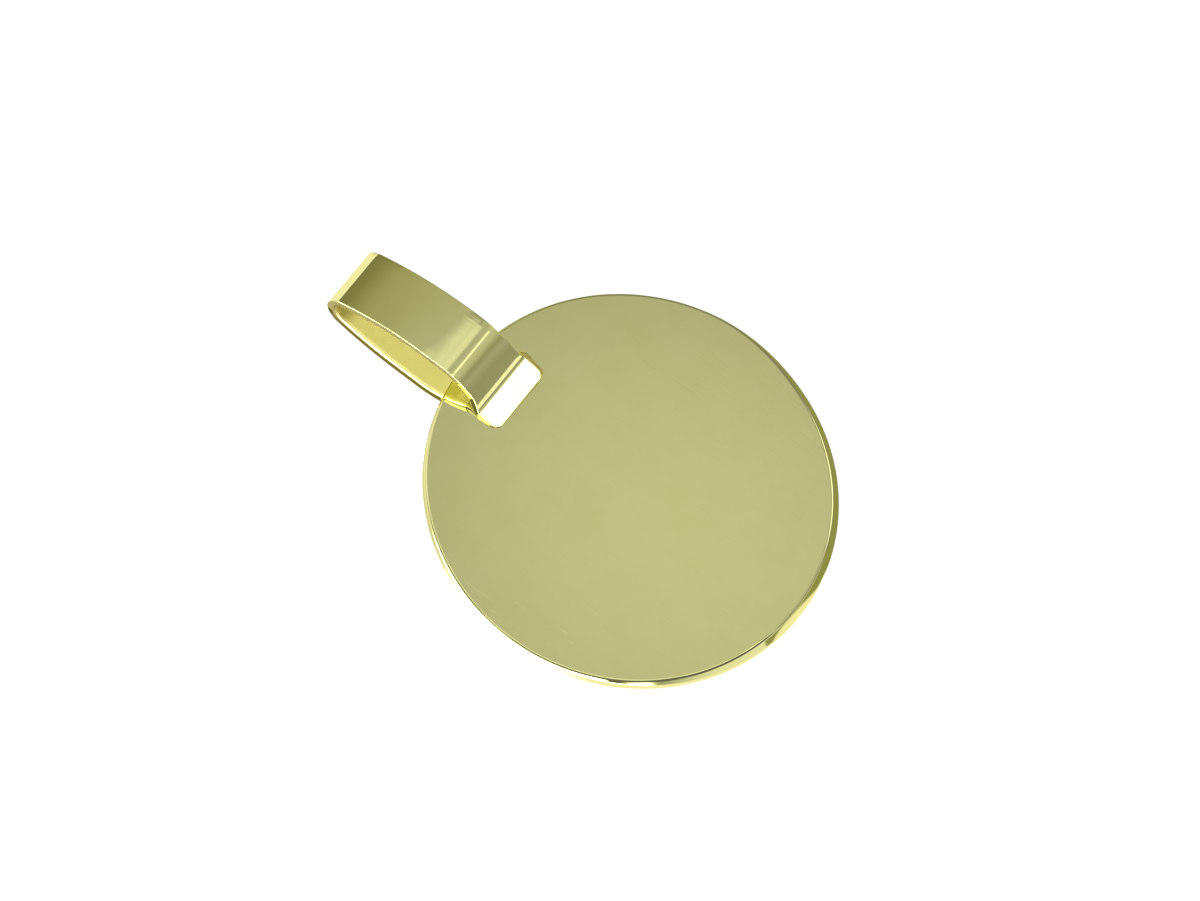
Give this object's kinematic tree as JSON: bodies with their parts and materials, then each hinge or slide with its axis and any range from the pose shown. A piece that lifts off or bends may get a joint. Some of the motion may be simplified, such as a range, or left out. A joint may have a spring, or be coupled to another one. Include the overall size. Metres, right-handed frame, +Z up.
{
  "type": "disc pendant",
  "caption": "Round flat mirror-polished gold disc pendant with a wide soldered strip bail that loops over its top edge.",
  "frame": {"origin": "on the surface that the pendant lies on, under the middle of its bounding box", "axes": "+Z up from that surface, +Y from the disc towards the bail, X along the chain's passage through the bail"},
  "size_m": [0.015, 0.0202, 0.0028],
  "materials": {
    "polished_gold": "mirror polished yellow gold"
  },
  "bodies": {
    "root": {"disc_and_bail": "polished_gold"}
  },
  "joints": []
}
